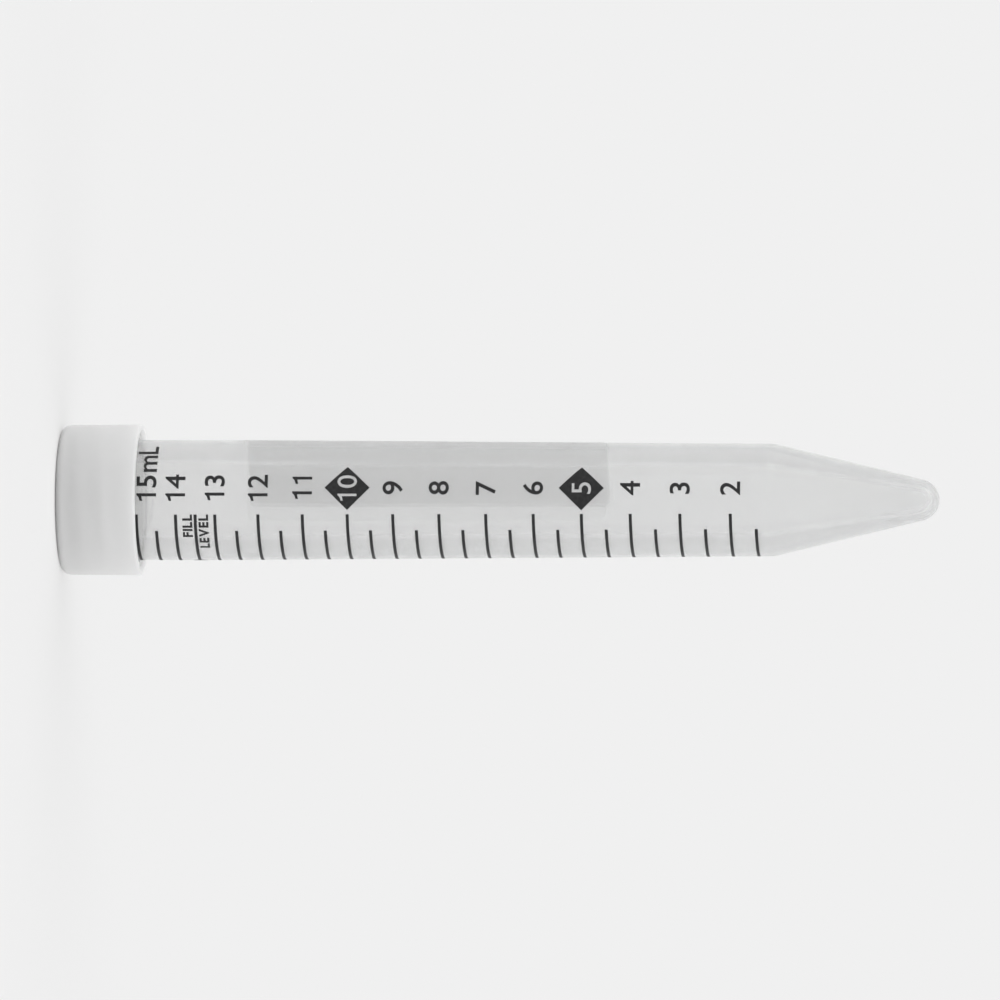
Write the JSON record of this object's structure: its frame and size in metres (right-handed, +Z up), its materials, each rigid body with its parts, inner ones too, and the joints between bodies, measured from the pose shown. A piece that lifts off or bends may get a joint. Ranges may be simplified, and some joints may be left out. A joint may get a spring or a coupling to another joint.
{
  "type": "15 ml conical tube",
  "caption": "Clear laboratory tube with a conical end, printed volume marks and a smooth screw cap, stood on its cap.",
  "frame": {"origin": "middle of the cap's flat top, on which the tube stands", "axes": "+Z up the tube's axis from the cap to the conical tip; -Y towards the side that the numbers and the volume marks face"},
  "size_m": [0.0206, 0.0206, 0.12],
  "materials": {
    "clear_polypropylene": "gloss",
    "natural_polyethylene": "satin",
    "black_ink": "satin",
    "white_ink": "matte"
  },
  "bodies": {
    "cap": {"cap": "natural_polyethylene"},
    "tube": {"tube": "clear_polypropylene"}
  },
  "joints": [
    {"name": "tube_lift", "type": "slide", "parent": "cap", "child": "tube", "axis": [0, 0, 1], "range_m": [0, 0.03]}
  ]
}
